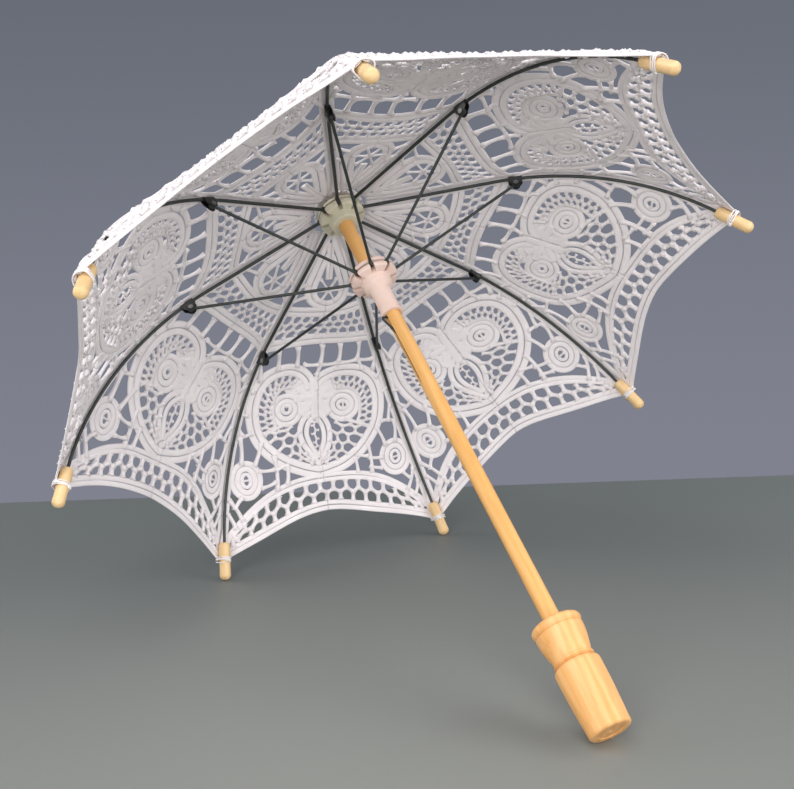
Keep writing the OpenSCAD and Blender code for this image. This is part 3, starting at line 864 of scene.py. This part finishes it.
def woodMaterial(name, ramp, source, coat, figure=1.0):
    # long fibres along z: noise squeezed along the grain, darker pores, and wide soft rings
    material, start, shader = newMaterial(name, Coat_Roughness=0.35, Specular_IOR_Level=0.3)
    if source == "shaft":
        x, y, z = [part * 1000 for part in shaftSpace(start)]
    else:
        spot = start.node("Attribute", {"attribute_type": "GEOMETRY", "attribute_name": "grain"}, {}, out=1)
        x, y, z = [start.node("SeparateXYZ", {}, {0: spot}, out=k) for k in range(3)]
    fibres = start.noise(joined(start, x, y, z * 0.045), 1.9, 4.0, 0.6)
    fine = start.noise(joined(start, x, y, z * 0.03), 6.5, 3.0, 0.65)
    broad = start.noise(joined(start, x, y, z * 0.1), 0.16, 2.0, 0.5)
    rings = start.maths("SINE", (x * 0.9 + y * 0.35 + broad * 9 + z * 0.012) * 1.25) * 0.5 + 0.5
    pores = fine.between(0.62, 0.74)
    tone = (fibres * 0.62 + rings * 0.24 * figure + broad * 0.42 - 0.14).clamp()
    colour = tone.node("ValToRGB", {"stops": ramp}, {"Fac": tone})
    feed((pores * 0.35).mix(colour, ramp[0][1]), shader, "Base Color")
    feed(0.42 + fibres * 0.16 + pores * 0.12, shader, "Roughness")
    feed((coat - pores * 0.1).clamp(), shader, "Coat Weight")
    feed((fibres * 0.6 + fine * 0.5).bump(0.18, 0.0002), shader, "Normal")
    return material


def metalMaterial(name, dark, light, roughness, metallic):
    # patchy wire or sheet with fine scratches
    material, start, shader = newMaterial(name, Metallic=metallic)
    place = start.node("TexCoord", {}, {}, out=3)
    patch = start.noise(place, 160.0, 3.0)
    scratch = start.noise(place, 1900.0, 2.0, 0.6)
    feed((patch * 0.9 + scratch * 0.3 - 0.1).clamp().mix(dark, light), shader, "Base Color")
    feed(roughness + patch * 0.22 + scratch * 0.08, shader, "Roughness")
    feed(scratch.bump(0.2, 0.00006), shader, "Normal")
    return material


def plasticMaterial(name, dark, light, glow):
    # moulded plastic that lets a little light through, with flow marks and grit
    material, start, shader = newMaterial(name, Subsurface_Weight=glow, Subsurface_Scale=0.0015,
                                          Coat_Weight=0.1, Coat_Roughness=0.35)
    place = start.node("TexCoord", {}, {}, out=3)
    cloud = start.noise(place, 90.0, 3.0)
    flow = start.noise(place, 420.0, 2.0)
    grit = start.noise(place, 2400.0, 2.0)
    feed((cloud * 0.9 + flow * 0.4 - 0.15).clamp().mix(dark, light), shader, "Base Color")
    feed(0.38 + flow * 0.2, shader, "Roughness")
    feed((grit + flow * 0.8).bump(0.12, 0.0001), shader, "Normal")
    return material


def rgb(r, g, b):
    # a colour given as the eye reads it, 0 to 255, turned into linear light
    light = [((c / 255 + 0.055) / 1.055) ** 2.4 if c > 10 else c / 255 / 12.92 for c in (r, g, b)]
    return (*light, 1.0)


woodRamps = {
    "shaft": [(0.0, rgb(196, 136, 68)), (0.42, rgb(224, 168, 98)), (1.0, rgb(240, 194, 130))],
    "handle": [(0.0, rgb(204, 138, 72)), (0.45, rgb(232, 174, 108)), (1.0, rgb(245, 200, 142))],
    "bead": [(0.0, rgb(206, 164, 108)), (0.45, rgb(228, 194, 142)), (1.0, rgb(242, 218, 176))],
}

laceCotton = cottonMaterial("laceCotton", rgb(254, 249, 250), rgb(216, 209, 211), True)
sewingCotton = cottonMaterial("sewingCotton", rgb(248, 244, 244), rgb(214, 208, 208), False)
frillCotton = cottonMaterial("frillCotton", rgb(248, 244, 243), rgb(210, 204, 203), False)
shaftWood = woodMaterial("shaftWood", woodRamps["shaft"], "shaft", 0.14)
handleWood = woodMaterial("handleWood", woodRamps["handle"], "grain", 0.2, 1.2)
beadWood = woodMaterial("beadWood", woodRamps["bead"], "grain", 0.15, 0.7)
darkSteel = metalMaterial("darkSteel", rgb(50, 54, 54), rgb(88, 92, 90), 0.36, 0.8)
rivetSteel = metalMaterial("rivetSteel", rgb(96, 96, 92), rgb(150, 148, 142), 0.28, 0.9)
blackLacquer = metalMaterial("blackLacquer", rgb(18, 18, 19), rgb(44, 44, 45), 0.3, 0.2)
crownPlastic = plasticMaterial("crownPlastic", rgb(196, 190, 164), rgb(224, 219, 198), 0.1)
runnerPlastic = plasticMaterial("runnerPlastic", rgb(228, 198, 184), rgb(242, 219, 208), 0.12)

cadLooks = {"shaft": shaftWood, "crown": crownPlastic, "runner": runnerPlastic, "crown_wire": darkSteel,
            "runner_wire": darkSteel, "catch": darkSteel, "rib_wire": darkSteel, "stretcher": darkSteel,
            "clip": blackLacquer, "rivet": rivetSteel}


def dressCadParts():
    for name in frame["nodes"]:
        look = cadLooks.get(name) or cadLooks.get(name.rsplit("_", 1)[0])
        if look is None:                 # a detailed piece replaces this one
            continue
        node = bpy.data.objects[name]
        if len(node.material_slots) == 0:
            node.data.materials.append(look)
        for place in node.material_slots:
            place.material = look


# ---- put it together

dressCadParts()
print("wire, plastic and shaft dressed")

clothLength, slices = 210, 400                                       # millimetres down the middle of a gore
goreArea = float(np.sum(2 * halfGore(np.linspace(0, clothLength, slices))) * clothLength / slices) * mm * mm
for i, panel in enumerate(makeLace(laceCotton), start=1):
    hinge = ribHinges[i - 1]
    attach(panel, f"rib_{i}")
    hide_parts(f"lace_{i}")
    tuple(hinge["axis"])
    tuple(hinge["pos_m"])
    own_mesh(panel)
print("lace sewn")

makeBeads(beadWood, sewingCotton)
makeRosette(frillCotton)
handleTop = crownCentre + shaftUp * (handleEnd + handleShape["length"] * mm)
handle = turnedPiece("turned_handle", handleProfile(), handleTop, shaftUp, "root", handleWood,
                     turns=96)
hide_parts("handle")
ferrule = turnedPiece("turned_ferrule", ferruleProfile(), crownCentre, shaftUp, "root",
                      handleWood)
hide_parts("ferrule")
print("wood turned")

# ---- floor, light and camera

viewing = {
    "place": (-0.3016, -0.5596, 0.2738),
    "right": (0.88974, -0.45489, -0.03788),
    "down": (-0.13298, -0.17892, -0.97484),
    "lens": 56.86,
}
tableShape = {
    "farEdge": [(-0.1671, 0.3789), (0.3589, 0.1075)],    # two points on it
    "beyond": 2.2,
    "depth": 3,
}


def makeTable():
    first, second = (np.array(p) for p in tableShape["farEdge"])
    along = unit(second - first)
    toward = np.array([along[1], -along[0]])
    left, right = first - tableShape["beyond"] * along, second + tableShape["beyond"] * along
    corners = [left, right, right + tableShape["depth"] * toward, left + tableShape["depth"] * toward]
    mesh = bpy.data.meshes.new("table")
    mesh.from_pydata([(x, y, 0) for x, y in corners], [], [(3, 2, 1, 0)])
    table = newObject("table", mesh)
    if mesh.polygons[0].normal.z < 0:
        mesh.flip_normals()
    material, start, shader = newMaterial("tablePaper")
    place = start.node("TexCoord", {}, {}, out=3)
    wide = start.noise(place, 3.0, 2.0)
    back = start.node("VectorMath", {"operation": "SUBTRACT"}, {0: place, 1: (*first, 0.0)})
    back = start.node("VectorMath", {"operation": "DOT_PRODUCT"}, {0: back, 1: (*toward, 0.0)}, out=1)
    # painted shade: the paper is darker towards the far edge, standing in for the light falling off there
    paperWithPaintedShade = back.between(0.02, 0.62).mix(rgb(99, 105, 104), rgb(132, 134, 129))    # darker at the far edge
    feed((wide * 0.25).mix(paperWithPaintedShade, rgb(138, 140, 135)), shader, "Base Color")
    feed(0.5 + wide * 0.1, shader, "Roughness")
    mesh.materials.append(material)


def aimed(place, target):
    # a matrix that looks from place to target along its own -z
    back = (Vector(place) - Vector(target)).normalized()
    side = Vector((0, 0, 1)).cross(back).normalized()
    up = back.cross(side)
    turned = Matrix((side, up, back)).transposed().to_4x4()
    turned.translation = Vector(place)
    return turned


lamps = {
    "skyPanel": {"place": (-0.7, -0.5, 1.6), "size": 1.3, "power": 16.0, "colour": (1.0, 0.98, 0.98)},
    "frontSheet": {"place": (-0.6, -1.6, 0.72), "size": 1.3, "power": 12.0, "colour": (1.0, 0.98, 0.97)},
    "keyCard": {"place": (-0.95, -0.7, 0.45), "size": 0.5, "power": 6.0, "colour": (1.0, 0.98, 0.95)},
    "sideSheet": {"place": (1.1, -0.5, 1.0), "size": 0.9, "power": 10.0, "colour": (1.0, 0.98, 0.97)},
    "lowSheet": {"place": (0.9, -1.2, 0.5), "size": 0.9, "power": 9.0, "colour": (1.0, 0.98, 0.98)},
    "backWash": {"place": (-1.3, 1.2, 1.2), "size": 1.2, "power": 14.0, "colour": (1.0, 0.98, 0.99)},
}
lampTarget = (0, 0, 0.12)


def makeLight():
    for name, lamp in lamps.items():
        data = bpy.data.lights.new(name, "AREA")
        data.energy, data.size, data.color = lamp["power"], lamp["size"], lamp["colour"]
        newObject(name, data).matrix_world = aimed(lamp["place"], lampTarget)
    world = bpy.data.worlds.new("studio")
    bpy.context.scene.world = world
    world.use_nodes = True
    backdrop = world.node_tree.nodes["Background"]
    start = Thread(world.node_tree)
    height = start.node("SeparateXYZ", {}, {0: start.node("TexCoord", {}, {}, out=0)}, out=2)
    sky = height.between(-0.3, 0.22).mix(rgb(128, 131, 143), rgb(99, 104, 115))
    world.node_tree.links.new(sky.socket, backdrop.inputs["Color"])


def makeCamera():
    right, up = Vector(viewing["right"]), -Vector(viewing["down"])
    back = right.cross(up)
    data = bpy.data.cameras.new("camera")
    data.lens, data.sensor_width = viewing["lens"], 36.0
    camera = newObject("camera", data)
    turned = Matrix((right, up, back)).transposed().to_4x4()
    turned.translation = Vector(viewing["place"])
    camera.matrix_world = turned
    bpy.context.scene.camera = camera
    bpy.context.scene.view_settings.view_transform = "Standard"


makeTable()
makeLight()
makeCamera()
print("stage set")
